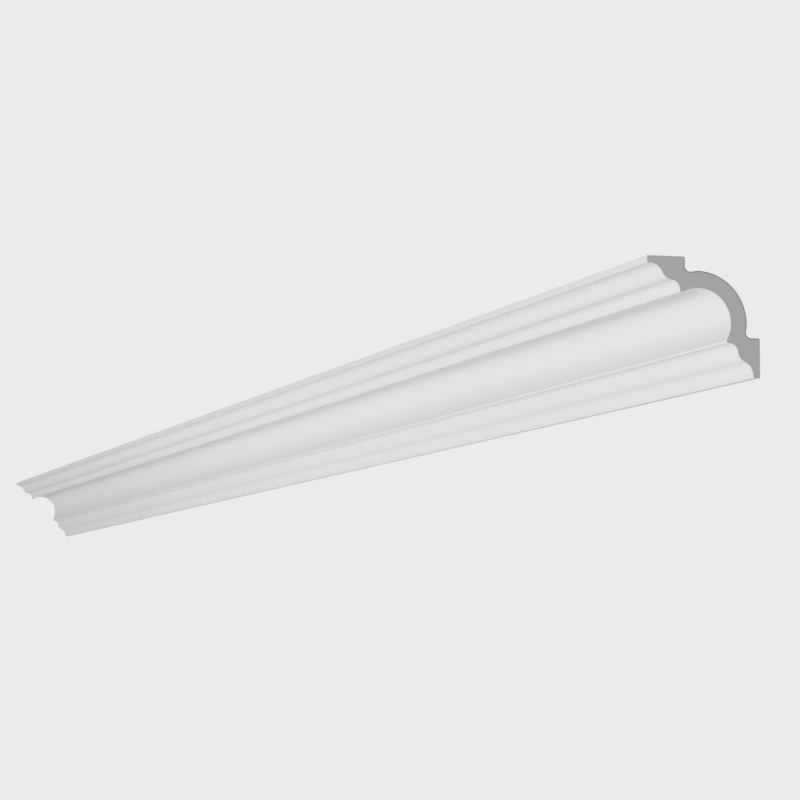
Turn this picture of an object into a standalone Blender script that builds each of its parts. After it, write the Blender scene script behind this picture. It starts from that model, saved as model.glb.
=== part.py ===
"""One straight length of cornice moulding, the cover strip between a wall and a ceiling.

The moulding is a thin shell of even section, run to a long straight length and cut square
at both ends. Its section is the same on the ceiling side and the wall side, mirrored about
the 45 degree line through the room's top corner: a flat land glued to each surface, a short
fillet at the outer edge, an ogee, a small cove, a sharp arris, and one deep cove between
the two arrises. Behind the deep cove the back is hollowed to a curve, so the corner of the
room stays free.

Axes: X along the length, the wall is the plane y = 0 with the room at -Y, and the ceiling
is the plane at the top. The origin is the middle of the land that lies on the wall.
Units are metres and radians.
"""

import math

import bmesh
import bpy

# Overall sizes
LENGTH = 2.0
PROJECTION = 0.060  # out from the wall along the ceiling, and as much down the wall
LAND = 0.020  # width of the flat glued to the wall, and of the flat glued to the ceiling

# The face, from the outer edge towards the deep cove
EDGE_FILLET = 0.0036
SOFFIT = 0.0011
OGEE_HOLLOW_RADIUS = 0.0076
OGEE_SLOPE = math.radians(61)
OGEE_STRAIGHT = 0.0016
OGEE_NOSE_RADIUS = 0.00545
QUIRK_SLOPE = math.radians(6)
SMALL_COVE_RADIUS = 0.00525
ARRIS_SIDE = 0.00065
ARRIS_WIDTH = 0.00115
ARRIS_SLOPE = math.radians(16)
DEEP_COVE_SWEEP = math.radians(151.1)

# The back
WALL = 0.0084  # thickness of the shell in the middle of the deep cove
BACK_EASE = 0.00033  # the back's centre lies this much further out and down than the cove's
BACK_FILLET_RADIUS = 0.003
NECK_SLOPE = math.radians(10)  # of the short straight between the back's arc and the fillet
NECK_EASE_RADIUS = 0.005

FACET_ANGLE = math.radians(6)  # the most that one facet turns on a round stretch
DOWN = math.radians(90)
SHARP_EDGE_ANGLE = math.radians(15)

PAINT_COLOUR = (0.80, 0.80, 0.81, 1.0)
PAINT_ROUGHNESS = 0.55


def steps_for(angle):
    """Number of facets that carry an arc of this many radians."""
    return max(1, math.ceil(abs(angle) / FACET_ANGLE - 1e-6))


class SectionLine:
    """A line drawn across the section, from where it starts, by straight runs and round turns.

    A point is (out, down): its distance from the wall and its drop below the ceiling. The
    heading is 0 towards the wall and DOWN straight down.
    """

    def __init__(self, out, down, heading):
        self.points = [(out, down)]
        self.heading = heading

    def run(self, length):
        out, down = self.points[-1]
        self.points.append((out - length * math.cos(self.heading), down + length * math.sin(self.heading)))

    def turn(self, radius, heading):
        """Follow an arc until the line has this heading."""
        out, down = self.points[-1]
        start, bend = self.heading, heading - self.heading
        reach = math.copysign(radius, bend)
        count = steps_for(bend)
        for i in range(1, count + 1):
            angle = start + bend * i / count
            self.points.append((
                out - reach * (math.sin(angle) - math.sin(start)),
                down - reach * (math.cos(angle) - math.cos(start)),
            ))
        self.heading = heading


def arc_points(centre, radius, start, end):
    """Points on an arc. An angle is 0 straight up from the centre and turns towards the wall."""
    count = steps_for(end - start)
    angles = [start + (end - start) * i / count for i in range(count + 1)]
    return [(centre[0] - radius * math.sin(a), centre[1] - radius * math.cos(a)) for a in angles]


def mirrored(points):
    """The wall side's copy of a ceiling side line, in the order that carries on from it."""
    return [(down, out) for out, down in reversed(points)]


def face_edge_line():
    """The ceiling side of the face, from its top outer corner to the lip of the deep cove."""
    line = SectionLine(PROJECTION, 0.0, DOWN)
    line.run(EDGE_FILLET)
    line.heading = 0.0
    line.run(SOFFIT)
    line.turn(OGEE_HOLLOW_RADIUS, OGEE_SLOPE)
    line.run(OGEE_STRAIGHT)
    line.turn(OGEE_NOSE_RADIUS, QUIRK_SLOPE)
    line.turn(SMALL_COVE_RADIUS, DOWN)
    line.run(ARRIS_SIDE)
    line.heading = ARRIS_SLOPE
    line.run(ARRIS_WIDTH)
    return line.points


def deep_cove_circle(lip):
    """Centre, on the 45 degree line, and radius of the arc that joins the two lips."""
    out, down = lip
    radius = (out - down) / math.sqrt(2) / math.sin(DEEP_COVE_SWEEP / 2)
    centre = (out + down) / 2 + radius * math.cos(DEEP_COVE_SWEEP / 2) / math.sqrt(2)
    return centre, radius


def back_line(cove_centre, cove_radius):
    """The back, from the ceiling land's inner edge over the hollow to the wall land's inner edge."""
    centre = cove_centre + BACK_EASE
    radius = cove_radius + WALL + BACK_EASE * math.sqrt(2)
    tilt = math.sin(NECK_SLOPE)
    neck = PROJECTION - LAND - centre - BACK_FILLET_RADIUS * (1 + tilt) - NECK_EASE_RADIUS * tilt
    drop = neck * math.tan(NECK_SLOPE) + NECK_EASE_RADIUS * (1 - math.cos(NECK_SLOPE))
    line = SectionLine(PROJECTION - LAND, 0.0, DOWN)
    line.run(centre - radius + drop - BACK_FILLET_RADIUS * math.cos(NECK_SLOPE))
    line.turn(BACK_FILLET_RADIUS, -NECK_SLOPE)
    line.run(neck / math.cos(NECK_SLOPE))
    line.turn(NECK_EASE_RADIUS, 0.0)
    over_the_hollow = arc_points((centre, centre), radius, 0.0, math.pi / 2)
    return line.points + over_the_hollow[1:-1] + mirrored(line.points)


def section_points():
    """The whole section as one loop of (out, down) points, face first and then the back."""
    face_edge = face_edge_line()
    centre, radius = deep_cove_circle(face_edge[-1])
    middle = math.pi / 4
    cove = arc_points((centre, centre), radius, middle - DEEP_COVE_SWEEP / 2, middle + DEEP_COVE_SWEEP / 2)
    face = face_edge + cove[1:-1] + mirrored(face_edge)
    return face + back_line(centre, radius)[::-1]


def make_painted_finish():
    """White primer over rigid foam, matt."""
    material = bpy.data.materials.new("white_primer")
    material.use_nodes = True
    shader = material.node_tree.nodes["Principled BSDF"]
    shader.inputs["Base Color"].default_value = PAINT_COLOUR
    shader.inputs["Roughness"].default_value = PAINT_ROUGHNESS
    shader.inputs["Metallic"].default_value = 0.0
    return material


def make_moulding():
    """Extrude the section from end to end, with the wall land's middle at the origin."""
    ceiling_height = PROJECTION - LAND / 2
    build = bmesh.new()
    corners = [build.verts.new((-LENGTH / 2, -out, ceiling_height - down)) for out, down in section_points()]
    end = build.faces.new(corners)
    run = bmesh.ops.extrude_face_region(build, geom=[end])
    far_corners = [item for item in run["geom"] if isinstance(item, bmesh.types.BMVert)]
    bmesh.ops.translate(build, verts=far_corners, vec=(LENGTH, 0.0, 0.0))
    bmesh.ops.recalc_face_normals(build, faces=build.faces)
    mesh = bpy.data.meshes.new("cornice_moulding")
    build.to_mesh(mesh)
    build.free()
    mesh.shade_smooth()
    mesh.set_sharp_from_angle(angle=SHARP_EDGE_ANGLE)
    mesh.materials.append(make_painted_finish())
    moulding = bpy.data.objects.new("cornice_moulding", mesh)
    bpy.context.scene.collection.objects.link(moulding)
    return moulding


for old in list(bpy.data.objects):
    bpy.data.objects.remove(old, do_unlink=True)
make_moulding()
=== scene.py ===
"""Looks of one straight length of cornice moulding: primed face, plain back, sawn foam ends.

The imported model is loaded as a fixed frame. One piece, the primed moulding, stands for the
CAD node: its section is drawn from named sizes, eased at its arrises and swept along the
length by a Geometry Nodes tree, and it is painted with three finishes. A studio of a pale
floor, a pale dome and soft boxes lights it, and the camera stands where the photograph's did.

Units are metres and radians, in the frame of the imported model: X along the length, the wall
is the plane y = 0 with the room at -Y, and +Z is up to the ceiling.
"""

import logging
import math
from collections.abc import Mapping, Sequence
from dataclasses import dataclass, field, replace
from enum import Enum
from typing import Any

import bpy
from mathutils import Matrix, Vector


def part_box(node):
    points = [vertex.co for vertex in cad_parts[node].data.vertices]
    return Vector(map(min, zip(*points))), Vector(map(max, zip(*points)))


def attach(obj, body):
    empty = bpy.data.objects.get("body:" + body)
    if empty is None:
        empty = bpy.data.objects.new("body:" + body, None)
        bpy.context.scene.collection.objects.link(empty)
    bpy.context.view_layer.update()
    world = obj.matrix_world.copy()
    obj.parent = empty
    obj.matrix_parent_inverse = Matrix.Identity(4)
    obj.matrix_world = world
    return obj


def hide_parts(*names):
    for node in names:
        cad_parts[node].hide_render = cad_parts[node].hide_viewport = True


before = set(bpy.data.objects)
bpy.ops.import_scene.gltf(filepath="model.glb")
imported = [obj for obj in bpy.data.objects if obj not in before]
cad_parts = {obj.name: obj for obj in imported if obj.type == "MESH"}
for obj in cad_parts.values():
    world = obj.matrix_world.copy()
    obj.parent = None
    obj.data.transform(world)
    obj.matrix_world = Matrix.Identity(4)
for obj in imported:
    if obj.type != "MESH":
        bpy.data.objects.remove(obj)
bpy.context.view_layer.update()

Colour = tuple[float, float, float]
Place = tuple[float, float, float]

LOG = logging.getLogger("cornice_moulding")
CAD_NODE = "cornice_moulding"
BODY = "root"

STRAIGHT_DOWN = math.radians(90)


class Surface(Enum):
    """The three kinds of surface that the moulding shows, each by the name of its tree input."""

    FACE = "Face Finish"
    BACK = "Back Finish"
    CUT_END = "Cut End Finish"


class Signal:
    """A node's output, on which Python's operators add Math nodes."""

    def __init__(self, tree: "NodeTree", socket: bpy.types.NodeSocket) -> None:
        """Hold the tree that is drawn in and the socket that the value leaves."""
        self.tree = tree
        self.socket = socket

    def __add__(self, other: "Signal | float") -> "Signal":
        """Sum of two values."""
        return self.tree.maths("ADD", self, other)

    def __radd__(self, other: "Signal | float") -> "Signal":
        """Sum, with a plain number on the left."""
        return self.tree.maths("ADD", other, self)

    def __sub__(self, other: "Signal | float") -> "Signal":
        """Difference of two values."""
        return self.tree.maths("SUBTRACT", self, other)

    def __rsub__(self, other: "Signal | float") -> "Signal":
        """Difference, with a plain number on the left."""
        return self.tree.maths("SUBTRACT", other, self)

    def __mul__(self, other: "Signal | float") -> "Signal":
        """Product of two values."""
        return self.tree.maths("MULTIPLY", self, other)

    def __rmul__(self, other: "Signal | float") -> "Signal":
        """Product, with a plain number on the left."""
        return self.tree.maths("MULTIPLY", other, self)

    def __gt__(self, other: "Signal | float") -> "Signal":
        """One where this value is the greater, and nought elsewhere."""
        return self.tree.maths("GREATER_THAN", self, other)

    def __lt__(self, other: "Signal | float") -> "Signal":
        """One where this value is the lesser, and nought elsewhere."""
        return self.tree.maths("LESS_THAN", self, other)

    def __abs__(self) -> "Signal":
        """The value without its sign."""
        return self.tree.maths("ABSOLUTE", self)

    def choose(self, chosen: "Signal", otherwise: "Signal") -> "Signal":
        """The first value where this one is one, and the second where it is nought."""
        return otherwise + self * (chosen - otherwise)

    def fade(self, start: float, end: float) -> "Signal":
        """Smooth step of this value.

        Args:
            start: The value at which the step is nought.
            end: The value from which it is one. It may be less than start.

        Returns:
            The step, from nought to one.
        """
        sockets = {"Value": self, "From Min": start, "From Max": end, "To Min": 0.0, "To Max": 1.0}
        return self.tree.signal("ShaderNodeMapRange", {"interpolation_type": "SMOOTHSTEP"}, sockets)


class NodeTree:
    """A shader, world or geometry tree, and the one way in which nodes are added to it."""

    def __init__(self, tree: bpy.types.NodeTree) -> None:
        """Hold the tree that is drawn in."""
        self.tree = tree

    def add(self, kind: str, settings: Mapping[str, Any] | None = None,
            sockets: Mapping[str | int, Any] | None = None) -> bpy.types.Node:
        """Add one node.

        Args:
            kind: Blender's name for the type of node.
            settings: The node's own options, which are set first.
            sockets: The value or the link of each input, by its index, identifier or name.

        Returns:
            The new node.
        """
        node = self.tree.nodes.new(kind)
        for option, value in (settings or {}).items():
            setattr(node, option, value)
        for key, value in (sockets or {}).items():
            self.feed(self.find(node.inputs, key), value)
        return node

    def signal(self, kind: str, settings: Mapping[str, Any] | None = None,
               sockets: Mapping[str | int, Any] | None = None, output: str | int = 0) -> Signal:
        """Add one node and take one of its outputs.

        Args:
            kind: Blender's name for the type of node.
            settings: The node's own options.
            sockets: The value or the link of each input.
            output: The output that is wanted, by its index, identifier or name.

        Returns:
            The output.
        """
        node = self.add(kind, settings, sockets)
        return Signal(self, self.find(node.outputs, output))

    def feed(self, socket: bpy.types.NodeSocket, value: Any) -> None:
        """Link the value to the socket where it is a signal, and set it there otherwise."""
        if isinstance(value, Signal):
            self.tree.links.new(value.socket, socket)
        else:
            socket.default_value = value

    def maths(self, operation: str, *values: "Signal | float") -> Signal:
        """Output of a Math node on one or two values."""
        return self.signal("ShaderNodeMath", {"operation": operation}, dict(enumerate(values)))

    def blend(self, factor: "Signal | float", first: "Signal | Colour", second: "Signal | Colour") -> Signal:
        """Mix two colours.

        Args:
            factor: Share of the second colour.
            first: Colour at nought.
            second: Colour at one.

        Returns:
            The mixed colour.
        """
        sockets = {"Factor_Float": factor, "A_Color": opaque(first), "B_Color": opaque(second)}
        return self.signal("ShaderNodeMix", {"data_type": "RGBA"}, sockets, "Result_Color")

    @staticmethod
    def find(sockets: bpy.types.bpy_prop_collection, key: str | int) -> bpy.types.NodeSocket:
        """Pick a socket.

        Args:
            sockets: The inputs or outputs of one node.
            key: Index, identifier or name of the wanted one.

        Returns:
            The socket.
        """
        if isinstance(key, int):
            return sockets[key]
        matches = [socket for socket in sockets if key == socket.identifier]
        matches += [socket for socket in sockets if key == socket.name and socket.enabled]
        return matches[0]


def opaque(colour: "Signal | Colour") -> "Signal | tuple[float, ...]":
    """The colour with an alpha of one, or the signal as it is."""
    return colour if isinstance(colour, Signal) else (*colour, 1.0)


class Finish:
    """A material in the making: its tree, the piece's own coordinates and the shader."""

    def __init__(self, name: str) -> None:
        """Start a new material."""
        self.material = bpy.data.materials.new(name)
        self.material.use_nodes = True
        self.tree = NodeTree(self.material.node_tree)
        self.shader = self.material.node_tree.nodes["Principled BSDF"]
        self.place = self.tree.signal("ShaderNodeTexCoord", output="Object")

    def stretched(self, scale: Place, turn: Place = (0.0, 0.0, 0.0)) -> Signal:
        """Coordinates for a pattern that is drawn out or turned.

        Args:
            scale: How much closer the pattern is packed along each axis.
            turn: Angles by which the coordinates are turned first.

        Returns:
            The coordinates.
        """
        sockets = {"Vector": self.place, "Rotation": turn, "Scale": scale}
        return self.tree.signal("ShaderNodeMapping", {"vector_type": "POINT"}, sockets)

    def noise(self, size: float, detail: float = 2.0, place: Signal | None = None) -> Signal:
        """Cloudy noise between nought and one.

        Args:
            size: About how wide one patch is.
            detail: Number of finer layers.
            place: The coordinates, where they aren't the piece's own.

        Returns:
            The noise.
        """
        sockets = {"Vector": place or self.place, "Scale": 1.0 / size, "Detail": detail}
        return self.tree.signal("ShaderNodeTexNoise", None, sockets, "Fac")

    def relief(self, height: Signal, depth: float, under: Signal | None = None) -> Signal:
        """Bump of the surface.

        Args:
            height: The relief, from nought to one.
            depth: How high one is.
            under: Normal of a coarser relief that this one lies on.

        Returns:
            The bumped normal.
        """
        sockets: dict[str | int, Any] = {"Strength": 1.0, "Distance": depth, "Height": height}
        if under is not None:
            sockets["Normal"] = under
        return self.tree.signal("ShaderNodeBump", None, sockets, "Normal")

    def paint(self, colour: Signal, roughness: Signal, normal: Signal) -> bpy.types.Material:
        """Lead the finished colour, roughness and normal to the shader.

        Args:
            colour: Base colour.
            roughness: Roughness.
            normal: Bumped normal.

        Returns:
            The material.
        """
        self.tree.feed(self.shader.inputs["Base Color"], colour)
        self.tree.feed(self.shader.inputs["Roughness"], roughness)
        self.tree.feed(self.shader.inputs["Normal"], normal)
        return self.material


@dataclass(frozen=True)
class SectionPoint:
    """A corner of the section: how far it is from the wall, and how far below the ceiling.

    The ease is the share of the arris radius by which the corner is rounded.
    """

    out: float
    down: float
    ease: float = 0.0


class SectionPen:
    """Draws one side of the section by straight runs, sharp corners and round turns.

    The heading is nought towards the wall and a right angle straight down.
    """

    def __init__(self, start: SectionPoint, heading: float, facet: float) -> None:
        """Set the pen on its first point."""
        self.points = [start]
        self.heading = heading
        self.facet = facet

    def run(self, length: float) -> None:
        """Draw straight on for this length."""
        last = self.points[-1]
        self.points.append(SectionPoint(last.out - length * math.cos(self.heading),
                                        last.down + length * math.sin(self.heading)))

    def corner(self, heading: float, ease: float) -> None:
        """Turn on the spot, and ease the corner that this leaves."""
        self.points[-1] = replace(self.points[-1], ease=ease)
        self.heading = heading

    def turn(self, radius: float, heading: float) -> None:
        """Follow an arc.

        Args:
            radius: Radius of the arc.
            heading: The heading at its end.
        """
        last, start, bend = self.points[-1], self.heading, heading - self.heading
        reach = math.copysign(radius, bend)
        count = math.ceil(abs(bend) / self.facet)
        for step in range(1, count + 1):
            angle = start + bend * step / count
            self.points.append(SectionPoint(last.out - reach * (math.sin(angle) - math.sin(start)),
                                            last.down - reach * (math.cos(angle) - math.cos(start))))
        self.heading = heading


@dataclass(frozen=True)
class MouldingSection:
    """The section of the moulding, alike on its ceiling side and its wall side.

    The face runs from the outer edge over a fillet, a soffit, an ogee, a small cove and a
    sharp arris to the deep cove. The back is a shell's thickness behind the deep cove, with
    a flat land on each side that is glued to the ceiling and to the wall.
    """

    projection: float = 0.060
    land: float = 0.020
    edge_fillet: float = 0.0036
    soffit: float = 0.0011
    hollow_radius: float = 0.0076
    ogee_slope: float = math.radians(61)
    ogee_straight: float = 0.0016
    nose_radius: float = 0.00545
    quirk_slope: float = math.radians(6)
    small_cove_radius: float = 0.00525
    arris_side: float = 0.00065
    arris_width: float = 0.00115
    arris_slope: float = math.radians(16)
    deep_cove_sweep: float = math.radians(151.1)
    shell: float = 0.0084
    back_offset: float = 0.00033
    back_fillet: float = 0.003
    neck_slope: float = math.radians(10)
    neck_ease: float = 0.005
    facet: float = math.radians(2.5)
    face_ease: float = 1.0
    back_ease: float = 1.3

    @property
    def ceiling_height(self) -> float:
        """Height of the ceiling over the middle of the wall land, which is the origin."""
        return self.projection - self.land / 2

    @property
    def land_edge(self) -> float:
        """Distance from the wall to the inner edge of the ceiling land."""
        return self.projection - self.land

    def face_side(self) -> list[SectionPoint]:
        """The ceiling side of the face, from its outer edge to the lip of the deep cove."""
        pen = SectionPen(SectionPoint(self.projection, 0.0, self.face_ease), STRAIGHT_DOWN, self.facet)
        pen.run(self.edge_fillet)
        pen.corner(0.0, self.face_ease)
        pen.run(self.soffit)
        pen.turn(self.hollow_radius, self.ogee_slope)
        pen.run(self.ogee_straight)
        pen.turn(self.nose_radius, self.quirk_slope)
        pen.turn(self.small_cove_radius, STRAIGHT_DOWN)
        pen.run(self.arris_side)
        pen.corner(self.arris_slope, self.face_ease)
        pen.run(self.arris_width)
        pen.corner(0.0, self.face_ease)
        return pen.points

    def deep_cove(self) -> tuple[float, float]:
        """Circle of the deep cove.

        Returns:
            Its centre, as far from the wall as from the ceiling, and its radius.
        """
        lip = self.face_side()[-1]
        half_sweep = self.deep_cove_sweep / 2
        radius = (lip.out - lip.down) / math.sqrt(2) / math.sin(half_sweep)
        return (lip.out + lip.down) / 2 + radius * math.cos(half_sweep) / math.sqrt(2), radius

    def back_circle(self) -> tuple[float, float]:
        """Centre and radius of the arc at the back, a shell's thickness behind the deep cove."""
        centre, radius = self.deep_cove()
        return centre + self.back_offset, radius + self.shell + self.back_offset * math.sqrt(2)

    def neck(self) -> tuple[float, float]:
        """The short slope between the back's arc and the fillet.

        Returns:
            How far the slope runs towards the wall, and how far below the ceiling the fillet
            begins.
        """
        centre, radius = self.back_circle()
        tilt = math.sin(self.neck_slope)
        reach = self.land_edge - centre - self.back_fillet * (1 + tilt) - self.neck_ease * tilt
        drop = reach * math.tan(self.neck_slope) + self.neck_ease * (1 - math.cos(self.neck_slope))
        return reach, centre - radius + drop - self.back_fillet * math.cos(self.neck_slope)

    def arc(self, centre: tuple[float, float], radius: float, start: float, end: float) -> list[SectionPoint]:
        """Points along an arc.

        Args:
            centre: Its distance from the wall, and from the ceiling.
            radius: The arc's radius.
            start: Angle of the first point, nought straight up and turning towards the wall.
            end: Angle of the last point.

        Returns:
            The points, both ends among them.
        """
        count = math.ceil(abs(end - start) / self.facet)
        angles = [start + (end - start) * step / count for step in range(count + 1)]
        return [SectionPoint(centre[0] - radius * math.sin(angle), centre[1] - radius * math.cos(angle))
                for angle in angles]

    def back(self) -> list[SectionPoint]:
        """The back, from the ceiling land's inner edge to the wall land's inner edge."""
        centre, radius = self.back_circle()
        reach, fillet_start = self.neck()
        pen = SectionPen(SectionPoint(self.land_edge, 0.0, self.back_ease), STRAIGHT_DOWN, self.facet)
        pen.run(fillet_start)
        pen.turn(self.back_fillet, -self.neck_slope)
        pen.run(reach / math.cos(self.neck_slope))
        pen.turn(self.neck_ease, 0.0)
        over = self.arc((centre, centre), radius, 0.0, math.pi / 2)
        return pen.points + over[1:-1] + wall_side(pen.points)

    def loop(self) -> list[SectionPoint]:
        """The whole section, the face first and then back round behind it."""
        side = self.face_side()
        centre, radius = self.deep_cove()
        middle, half_sweep = math.pi / 4, self.deep_cove_sweep / 2
        cove = self.arc((centre, centre), radius, middle - half_sweep, middle + half_sweep)
        return side + cove[1:-1] + wall_side(side) + self.back()[::-1]


def wall_side(points: Sequence[SectionPoint]) -> list[SectionPoint]:
    """The wall side's copy of points on the ceiling side, in the order that carries on from them."""
    return [SectionPoint(point.down, point.out, point.ease) for point in reversed(points)]


@dataclass(frozen=True)
class PrimedFace:
    """Smooth matt white primer on the face, with the faint lines that the extruder leaves."""

    name: str = "white_primer_face"
    colour: Colour = (0.763, 0.762, 0.763)
    worn_colour: Colour = (0.748, 0.747, 0.748)
    roughness: float = 0.50
    roughness_spread: float = 0.08
    patch: float = 0.16
    peel: float = 0.0016
    peel_depth: float = 0.000012
    draw_line: float = 0.0009
    draw_line_depth: float = 0.000008
    draw_line_stretch: float = 0.01
    draw_line_detail: float = 3.0
    draw_line_share: float = 0.3

    def material(self) -> bpy.types.Material:
        """The finished material."""
        finish = Finish(self.name)
        patches = finish.noise(self.patch)
        peel = finish.noise(self.peel)
        drawn = finish.stretched((self.draw_line_stretch, 1.0, 1.0))
        lines = finish.noise(self.draw_line, self.draw_line_detail, drawn)
        wear = patches * (1.0 - self.draw_line_share) + lines * self.draw_line_share
        colour = finish.tree.blend(wear, self.colour, self.worn_colour)
        roughness = self.roughness + self.roughness_spread * (peel - 0.5)
        normal = finish.relief(peel, self.peel_depth, finish.relief(lines, self.draw_line_depth))
        return finish.paint(colour, roughness, normal)


@dataclass(frozen=True)
class PlainBack:
    """The back and the glued lands: thinner primer over the foam's drawn skin."""

    name: str = "white_primer_back"
    colour: Colour = (0.775, 0.775, 0.780)
    bare_colour: Colour = (0.715, 0.716, 0.722)
    roughness: float = 0.62
    roughness_spread: float = 0.14
    patch: float = 0.05
    patch_stretch: float = 0.25
    patch_detail: float = 4.0
    thin_from: float = 0.42
    thin_to: float = 0.72
    pit: float = 0.0011
    pit_depth: float = 0.00003
    draw_line: float = 0.0016
    draw_line_depth: float = 0.00004
    draw_line_stretch: float = 0.006
    draw_line_detail: float = 3.0
    draw_line_share: float = 0.4

    def material(self) -> bpy.types.Material:
        """The finished material."""
        finish = Finish(self.name)
        patches = finish.noise(self.patch, self.patch_detail,
                               finish.stretched((self.patch_stretch, 1.0, 1.0)))
        pits = finish.noise(self.pit)
        drawn = finish.stretched((self.draw_line_stretch, 1.0, 1.0))
        lines = finish.noise(self.draw_line, self.draw_line_detail, drawn)
        thin_patches = patches.fade(self.thin_from, self.thin_to)
        thin = thin_patches * (1.0 - self.draw_line_share) + lines * self.draw_line_share
        colour = finish.tree.blend(thin, self.colour, self.bare_colour)
        roughness = self.roughness + self.roughness_spread * (patches - 0.5)
        normal = finish.relief(pits, self.pit_depth, finish.relief(lines, self.draw_line_depth))
        return finish.paint(colour, roughness, normal)


@dataclass(frozen=True)
class SawnFoam:
    """Bare grey foam of a sawn end: fine cells with painted shade in their hollows, faint saw marks and a
    dark rim painted along the back's outline.
    """

    section: MouldingSection
    name: str = "sawn_foam"
    cell_wall: Colour = (0.428, 0.427, 0.434)
    # Darker colour of the cells' hollows: painted shade where the cell relief is low.
    shaded_cell_hollow: Colour = (0.394, 0.393, 0.400)
    # Colour of the dark rim painted along the back's outline on the cut end; its width and blur follow.
    back_rim_colour: Colour = (0.180, 0.180, 0.183)
    roughness: float = 0.85
    roughness_spread: float = 0.10
    cell: float = 0.00045
    cell_depth: float = 0.00006
    wall_fades_from: float = 0.15
    wall_fades_to: float = 0.75
    cells_per_cloud: float = 9.0
    cloud_share: float = 0.3
    saw_mark: float = 0.0021
    saw_mark_depth: float = 0.00002
    saw_mark_stretch: float = 0.03
    saw_mark_detail: float = 1.0
    saw_angle: float = math.radians(33)
    back_rim: float = 0.00045
    back_rim_blur: float = 0.00012

    def depth_behind_back(self, finish: Finish) -> Signal:
        """How deep a point of the end lies in the foam, measured from the back's outline.

        Args:
            finish: The material in the making.

        Returns:
            The depth, which is right near the back and the inner edges of the lands.
        """
        tree = finish.tree
        axes = tree.add("ShaderNodeSeparateXYZ", None, {"Vector": finish.place})
        out = Signal(tree, axes.outputs["Y"]) * -1.0
        down = self.section.ceiling_height - Signal(tree, axes.outputs["Z"])
        far, near = tree.maths("MAXIMUM", out, down), tree.maths("MINIMUM", out, down)
        centre, radius = self.section.back_circle()
        _, fillet_start = self.section.neck()
        fillet, slope = self.section.back_fillet, self.section.neck_slope
        beside, below = far - (self.section.land_edge - fillet), near - fillet_start
        depth = self.distance(beside, below) - fillet
        over_neck = beside * math.cos(slope) + below * math.sin(slope) < 0.0
        depth = over_neck.choose(below * math.cos(slope) - beside * math.sin(slope) - fillet, depth)
        depth = (far < centre).choose(radius - self.distance(far - centre, near - centre), depth)
        return (below < 0.0).choose(far - self.section.land_edge, depth)

    @staticmethod
    def distance(across: Signal, along: Signal) -> Signal:
        """Length of the diagonal of two values."""
        return across.tree.maths("SQRT", across * across + along * along)

    def material(self) -> bpy.types.Material:
        """The finished material."""
        finish = Finish(self.name)
        tree = finish.tree
        cells = tree.signal("ShaderNodeTexVoronoi", {"feature": "SMOOTH_F1"},
                            {"Vector": finish.place, "Scale": 1.0 / self.cell}, "Distance")
        clouds = finish.noise(self.cell * self.cells_per_cloud)
        turned = finish.stretched((1.0, 1.0, self.saw_mark_stretch), (self.saw_angle, 0.0, 0.0))
        marks = finish.noise(self.saw_mark, self.saw_mark_detail, turned)
        # The cells' hollows, low in the bump below, are painted darker as shade; the clouds mixed in are
        # random tone.
        hollow_shade = cells.fade(self.wall_fades_from, self.wall_fades_to)
        hollow_shade_and_clouds = hollow_shade * (1.0 - self.cloud_share) + clouds * self.cloud_share
        foam = tree.blend(hollow_shade_and_clouds, self.cell_wall, self.shaded_cell_hollow)
        # A dark rim is painted along the back's outline: within this width of the back the end turns to the
        # rim colour.
        back_rim = self.depth_behind_back(finish).fade(self.back_rim + self.back_rim_blur, self.back_rim - self.back_rim_blur)
        colour = tree.blend(back_rim, foam, self.back_rim_colour)
        roughness = self.roughness + self.roughness_spread * (clouds - 0.5)
        normal = finish.relief(1.0 - cells, self.cell_depth, finish.relief(marks, self.saw_mark_depth))
        return finish.paint(colour, roughness, normal)


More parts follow.
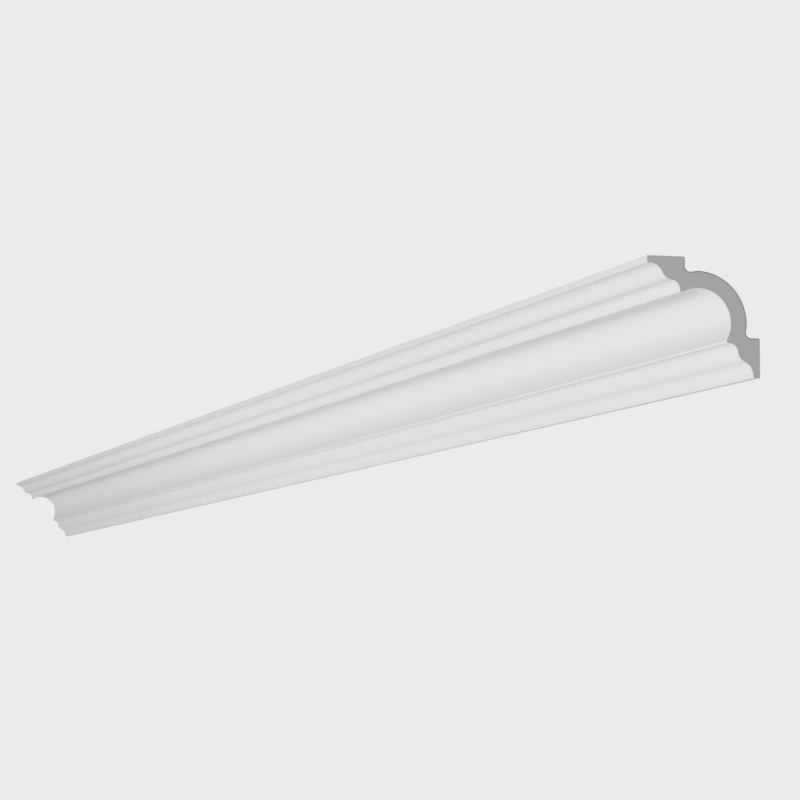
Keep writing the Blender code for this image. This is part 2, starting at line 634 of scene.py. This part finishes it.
@dataclass
class SweepTree:
    """The Geometry Nodes tree that eases the arrises of a section and sweeps it into a length.

    The section is a loop of edges in the XY plane, x out from the wall and y down from the
    ceiling, and each of its points says in an attribute by how much its corner is eased.
    """

    ceiling_height: float
    ease_attribute: str = "corner_ease"
    end_slope: float = 0.9
    tree: bpy.types.NodeTree = field(init=False)

    def __post_init__(self) -> None:
        """Draw the tree."""
        self.tree = bpy.data.node_groups.new("sweep_moulding", "GeometryNodeTree")
        nodes = NodeTree(self.tree)
        inputs = self.open_inputs(nodes)
        profile = self.eased_profile(nodes, inputs)
        swept = self.swept(nodes, inputs, profile)
        self.finish_surfaces(nodes, inputs, swept)

    def open_inputs(self, nodes: NodeTree) -> dict[str, Signal]:
        """Name the tree's inputs and its output.

        Args:
            nodes: The tree.

        Returns:
            Each input by its name.
        """
        kinds = {"Section": "NodeSocketGeometry", "Length": "NodeSocketFloat", "Rows": "NodeSocketInt",
                 "Arris Radius": "NodeSocketFloat", "Arris Steps": "NodeSocketInt"}
        kinds.update({surface.value: "NodeSocketMaterial" for surface in Surface})
        for name, kind in kinds.items():
            self.tree.interface.new_socket(name, in_out="INPUT", socket_type=kind)
        self.tree.interface.new_socket("Moulding", in_out="OUTPUT", socket_type="NodeSocketGeometry")
        start = nodes.add("NodeGroupInput")
        return {name: Signal(nodes, start.outputs[name]) for name in kinds}

    def eased_profile(self, nodes: NodeTree, inputs: Mapping[str, Signal]) -> Signal:
        """The section as a closed curve with its sharp corners rounded.

        Args:
            nodes: The tree.
            inputs: The tree's inputs.

        Returns:
            The curve.
        """
        loop = nodes.signal("GeometryNodeMeshToCurve", None, {"Mesh": inputs["Section"]})
        ease = nodes.signal("GeometryNodeInputNamedAttribute", {"data_type": "FLOAT"},
                            {"Name": self.ease_attribute}, "Attribute")
        sockets = {"Curve": loop, "Count": inputs["Arris Steps"], "Radius": ease * inputs["Arris Radius"],
                   "Limit Radius": True}
        return nodes.signal("GeometryNodeFilletCurve", {"mode": "POLY"}, sockets)

    def swept(self, nodes: NodeTree, inputs: Mapping[str, Signal], profile: Signal) -> Signal:
        """The closed solid: the profile drawn from end to end, with both ends filled.

        Args:
            nodes: The tree.
            inputs: The tree's inputs.
            profile: The section's curve.

        Returns:
            The mesh.
        """
        start, end = (
            nodes.signal("ShaderNodeCombineXYZ", None,
                         {"X": inputs["Length"] * half, "Z": self.ceiling_height})
            for half in (-0.5, 0.5)
        )
        line = nodes.signal("GeometryNodeCurvePrimitiveLine", {"mode": "POINTS"},
                            {"Start": start, "End": end})
        rows = nodes.signal("GeometryNodeResampleCurve", {"mode": "COUNT"},
                            {"Curve": line, "Count": inputs["Rows"] + 1.0})
        return nodes.signal("GeometryNodeCurveToMesh", None,
                            {"Curve": rows, "Profile Curve": profile, "Fill Caps": True})

    def finish_surfaces(self, nodes: NodeTree, inputs: Mapping[str, Signal], swept: Signal) -> None:
        """Shade the long surfaces smooth, give each surface its finish and end the tree.

        Args:
            nodes: The tree.
            inputs: The tree's inputs.
            swept: The mesh.
        """
        facing = nodes.add("ShaderNodeSeparateXYZ", None, {"Vector": nodes.signal("GeometryNodeInputNormal")})
        along, outward, upward = (Signal(nodes, facing.outputs[axis]) for axis in "XYZ")
        is_end = abs(along) > self.end_slope
        is_long = 1.0 - is_end
        is_back = is_long * (outward + upward > 0.0)
        smooth = nodes.signal("GeometryNodeSetShadeSmooth", {"domain": "FACE"},
                              {"Geometry": swept, "Selection": is_long, "Shade Smooth": True})
        flat = nodes.signal("GeometryNodeSetShadeSmooth", {"domain": "FACE"},
                            {"Geometry": smooth, "Selection": is_end, "Shade Smooth": False})
        shape = nodes.signal("GeometryNodeRealizeInstances", None, {"Geometry": flat})
        where = {Surface.FACE: True, Surface.BACK: is_back, Surface.CUT_END: is_end}
        for surface, selection in where.items():
            sockets = {"Geometry": shape, "Selection": selection, "Material": inputs[surface.value]}
            shape = nodes.signal("GeometryNodeSetMaterial", None, sockets)
        nodes.add("NodeGroupOutput", None, {"Moulding": shape})

    def identifier(self, name: str) -> str:
        """Identifier of the input with this name, by which a modifier's value is set."""
        return next(item.identifier for item in self.tree.interface.items_tree
                    if item.in_out == "INPUT" and item.name == name)


@dataclass
class PrimedMoulding:
    """The moulding length: one closed piece of foam with a skin of primer."""

    section: MouldingSection
    length: float = 2.0
    rows: int = 20
    arris_radius: float = 0.0005
    arris_steps: int = 4
    flat_face_weight: int = 100
    name: str = "primed_moulding"

    def draw_section(self, ease_attribute: str) -> bpy.types.Object:
        """Draw the section as a loop of edges.

        Args:
            ease_attribute: Name of the attribute that says how much a corner is eased.

        Returns:
            The drawing, which the sweep turns into the moulding.
        """
        points = self.section.loop()
        count = len(points)
        mesh = bpy.data.meshes.new("section_drawing")
        edges = [(index, (index + 1) % count) for index in range(count)]
        mesh.from_pydata([(point.out, point.down, 0.0) for point in points], edges, [])
        ease = mesh.attributes.new(ease_attribute, "FLOAT", "POINT")
        ease.data.foreach_set("value", [point.ease for point in points])
        drawing = bpy.data.objects.new("section_drawing", mesh)
        bpy.context.scene.collection.objects.link(drawing)
        return drawing

    def finishes(self) -> dict[Surface, bpy.types.Material]:
        """The material of each surface."""
        return {Surface.FACE: PrimedFace().material(), Surface.BACK: PlainBack().material(),
                Surface.CUT_END: SawnFoam(self.section).material()}

    def build(self) -> bpy.types.Object:
        """Sweep the section and make the result a plain mesh.

        Returns:
            The moulding, at the origin, with its place in its mesh.
        """
        sweep = SweepTree(self.section.ceiling_height)
        drawing = self.draw_section(sweep.ease_attribute)
        values: dict[str, Any] = {"Length": self.length, "Rows": self.rows, "Arris Radius": self.arris_radius,
                                  "Arris Steps": self.arris_steps}
        values.update({surface.value: material for surface, material in self.finishes().items()})
        modifier = drawing.modifiers.new("sweep", "NODES")
        modifier.node_group = sweep.tree
        for name, value in values.items():
            modifier[sweep.identifier(name)] = value
        weighted = drawing.modifiers.new("flat_faces_shade_flat", "WEIGHTED_NORMAL")
        weighted.weight = self.flat_face_weight
        weighted.keep_sharp = True
        depsgraph = bpy.context.evaluated_depsgraph_get()
        mesh = bpy.data.meshes.new_from_object(drawing.evaluated_get(depsgraph), depsgraph=depsgraph)
        mesh.name = self.name
        bpy.data.objects.remove(drawing, do_unlink=True)
        piece = bpy.data.objects.new(self.name, mesh)
        bpy.context.scene.collection.objects.link(piece)
        return piece

    def dress(self) -> bpy.types.Object:
        """Build the moulding and put it in the CAD node's place.

        Returns:
            The piece.
        """
        piece = self.build()
        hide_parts(CAD_NODE)
        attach(piece, BODY)
        return piece


@dataclass(frozen=True)
class PhotographCamera:
    """The camera of the photograph: far to the room side, a little below, looking along the length."""

    place: Place = (2.38643, -0.59062, -0.15077)
    right: Place = (0.27898, 0.96030, 0.00023)
    up: Place = (0.08298, -0.02435, 0.99625)
    back: Place = (0.95671, -0.27791, -0.08648)
    lens: float = 135.0
    sensor: float = 36.0
    reach: float = 500.0

    def set_up(self) -> bpy.types.Object:
        """Stand the camera in the scene and make it the scene's own.

        Returns:
            The camera.
        """
        data = bpy.data.cameras.new("photograph_camera")
        data.lens = self.lens
        data.sensor_fit = "HORIZONTAL"
        data.sensor_width = self.sensor
        data.clip_end = self.reach
        camera = bpy.data.objects.new("photograph_camera", data)
        turned = Matrix((self.right, self.up, self.back)).transposed().to_4x4()
        camera.matrix_world = Matrix.Translation(self.place) @ turned
        bpy.context.scene.collection.objects.link(camera)
        bpy.context.scene.camera = camera
        return camera


@dataclass(frozen=True)
class SoftBox:
    """A square soft light that faces one point."""

    name: str
    place: Place
    aim: Place
    side: float
    power: float
    colour: Colour = (1.0, 1.0, 1.0)

    def hang(self) -> bpy.types.Object:
        """Hang the light in the scene.

        Returns:
            The light.
        """
        data = bpy.data.lights.new(self.name, "AREA")
        data.shape = "SQUARE"
        data.size = self.side
        data.energy = self.power
        data.color = self.colour
        light = bpy.data.objects.new(self.name, data)
        light.visible_camera = False
        light.location = self.place
        light.rotation_euler = (Vector(self.aim) - Vector(self.place)).to_track_quat("-Z", "Y").to_euler()
        bpy.context.scene.collection.objects.link(light)
        return light


@dataclass(frozen=True)
class OverheadWash:
    """Even light from straight above, which lies on the floor and hardly reaches the face."""

    name: str = "overhead_wash"
    strength: float = 0.73
    spread: float = math.radians(35)

    def hang(self) -> bpy.types.Object:
        """Hang the light in the scene.

        Returns:
            The light.
        """
        data = bpy.data.lights.new(self.name, "SUN")
        data.energy = self.strength
        data.angle = self.spread
        light = bpy.data.objects.new(self.name, data)
        bpy.context.scene.collection.objects.link(light)
        return light


@dataclass(frozen=True)
class Studio:
    """A pale floor far below, a pale dome all round and soft boxes near the moulding.

    The dome shows one even tone to the camera, and it lights the moulding with a lower glow.
    """

    backdrop: Colour = (0.829, 0.829, 0.829)
    dome_glow: Colour = (0.338, 0.335, 0.357)
    floor_drop: float = 6.0
    floor_radius: float = 90.0
    floor_sides: int = 96
    floor_colour: Colour = (0.830, 0.830, 0.831)
    wash: OverheadWash = OverheadWash()
    soft_boxes: tuple[SoftBox, ...] = (
        SoftBox("key_box", (3.40, -2.188, -0.130), (1.00, -0.03, 0.02), 0.4, 53.4, (0.993, 1.0, 0.945)),
        SoftBox("low_box", (2.40, -0.930, -1.974), (2.40, -0.03, 0.02), 1.0, 10.5, (0.990, 1.0, 0.955)),
        SoftBox("far_front_box", (-0.60, -2.179, -0.240), (-0.60, -0.03, 0.02), 0.5, 10.4, (1.0, 1.0, 1.020)),
        SoftBox("middle_low_box", (0.20, -0.746, -1.045), (0.20, -0.03, 0.02), 0.5, 3.2, (1.0, 1.0, 1.020)),
        SoftBox("high_box", (1.40, -1.685, 1.434), (1.40, -0.03, 0.02), 1.0, 2.6),
        SoftBox("back_box", (0.0, 2.6, 1.2), (0.0, 0.0, 0.02), 1.4, 38.0),
    )

    def lay_floor(self) -> bpy.types.Object:
        """Lay a plain pale floor, wide enough to fill a view from above.

        Returns:
            The floor.
        """
        angles = [math.tau * side / self.floor_sides for side in range(self.floor_sides)]
        rim = [(self.floor_radius * math.cos(angle), self.floor_radius * math.sin(angle), -self.floor_drop)
               for angle in angles]
        mesh = bpy.data.meshes.new("studio_floor")
        mesh.from_pydata(rim, [], [tuple(range(self.floor_sides))])
        material = bpy.data.materials.new("studio_floor")
        material.use_nodes = True
        shader = material.node_tree.nodes["Principled BSDF"]
        shader.inputs["Base Color"].default_value = opaque(self.floor_colour)
        shader.inputs["Roughness"].default_value = 1.0
        shader.inputs["Specular IOR Level"].default_value = 0.0
        mesh.materials.append(material)
        floor = bpy.data.objects.new("studio_floor", mesh)
        bpy.context.scene.collection.objects.link(floor)
        return floor

    def light_dome(self) -> bpy.types.World:
        """Raise the dome.

        Returns:
            The world.
        """
        world = bpy.data.worlds.new("studio_dome")
        world.use_nodes = True
        world.node_tree.nodes.clear()
        tree = NodeTree(world.node_tree)
        seen = tree.signal("ShaderNodeBackground", None, {"Color": opaque(self.backdrop), "Strength": 1.0})
        glow = tree.signal("ShaderNodeBackground", None, {"Color": opaque(self.dome_glow), "Strength": 1.0})
        to_camera = tree.signal("ShaderNodeLightPath", output="Is Camera Ray")
        mixed = tree.signal("ShaderNodeMixShader", None, {0: to_camera, 1: glow, 2: seen})
        tree.add("ShaderNodeOutputWorld", None, {"Surface": mixed})
        bpy.context.scene.world = world
        return world

    def set_up(self) -> None:
        """Lay the floor, raise the dome, hang the soft boxes and show plain tones."""
        self.lay_floor()
        self.light_dome()
        for lamp in (self.wash, *self.soft_boxes):
            lamp.hang()
        bpy.context.scene.view_settings.view_transform = "Standard"


def main() -> None:
    """Build the camera, the moulding and the studio, and report each."""
    logging.basicConfig(level=logging.INFO, format="%(name)s: %(message)s")
    PhotographCamera().set_up()
    LOG.info("camera stands where the photograph's did")
    low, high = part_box(CAD_NODE)
    moulding = PrimedMoulding(MouldingSection(projection=high[2] - low[2]), length=high[0] - low[0])
    piece = moulding.dress()
    LOG.info("%s: %d faces in %d finishes", piece.name, len(piece.data.polygons), len(piece.data.materials))
    Studio().set_up()
    LOG.info("studio has its floor, dome and soft boxes")


if __name__ == "__main__":
    main()
